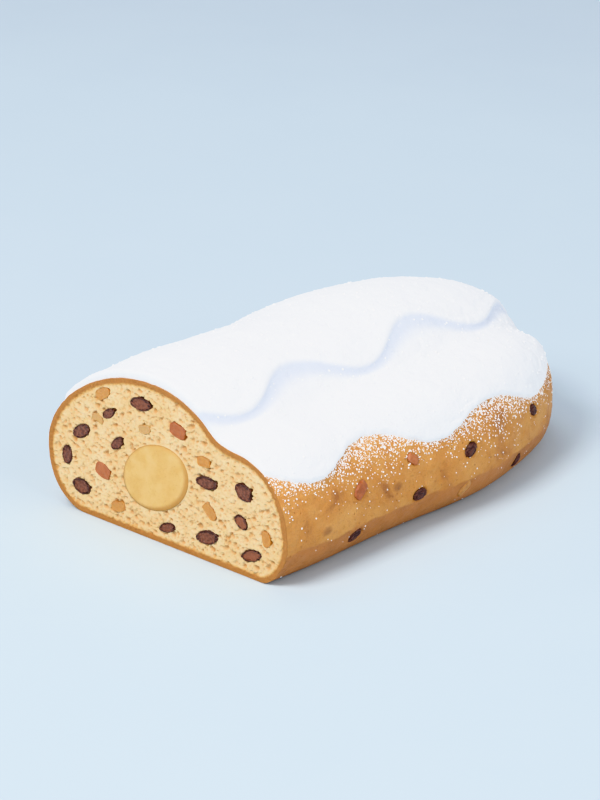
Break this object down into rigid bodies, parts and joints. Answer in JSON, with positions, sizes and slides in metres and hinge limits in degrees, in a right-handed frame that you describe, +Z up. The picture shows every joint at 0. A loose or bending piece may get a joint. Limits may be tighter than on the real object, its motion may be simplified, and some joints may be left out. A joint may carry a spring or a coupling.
{
  "type": "stollen",
  "caption": "Cut stollen: a folded fruit loaf with raisins and candied peel round a marzipan core, under a thick coat of icing sugar.",
  "frame": {"origin": "middle of the footprint, on the surface that the loaf lies on", "axes": "+Y from the cut face along the loaf to its baked end, +X to the right of the cut face, +Z up"},
  "size_m": [0.1332, 0.206, 0.0705],
  "materials": {
    "bread": "baked crust round a pale, open crumb",
    "marzipan": "smooth almond paste, cut with a knife",
    "icing_sugar": "thick, soft powder",
    "raisin": "dark, wrinkled and slightly sticky",
    "orange_peel": "candied, slightly glossy",
    "lemon_peel": "candied, slightly glossy"
  },
  "bodies": {
    "root": {"loaf": "bread", "marzipan_core": "marzipan", "sugar_coat": "icing_sugar", "raisin_01": "raisin", "raisin_02": "raisin", "raisin_03": "raisin", "raisin_04": "raisin", "raisin_05": "raisin", "raisin_06": "raisin", "raisin_07": "raisin", "raisin_08": "raisin", "raisin_09": "raisin", "raisin_10": "raisin", "raisin_11": "raisin", "raisin_12": "raisin", "raisin_13": "raisin", "raisin_14": "raisin", "raisin_15": "raisin", "raisin_16": "raisin", "raisin_17": "raisin", "raisin_18": "raisin", "raisin_19": "raisin", "raisin_20": "raisin", "raisin_21": "raisin", "raisin_22": "raisin", "orange_peel_01": "orange_peel", "orange_peel_02": "orange_peel", "orange_peel_03": "orange_peel", "orange_peel_04": "orange_peel", "orange_peel_05": "orange_peel", "orange_peel_06": "orange_peel", "lemon_peel_01": "lemon_peel", "lemon_peel_02": "lemon_peel", "lemon_peel_03": "lemon_peel", "lemon_peel_04": "lemon_peel", "lemon_peel_05": "lemon_peel", "lemon_peel_06": "lemon_peel", "lemon_peel_07": "lemon_peel", "lemon_peel_08": "lemon_peel", "lemon_peel_09": "lemon_peel"}
  },
  "joints": []
}
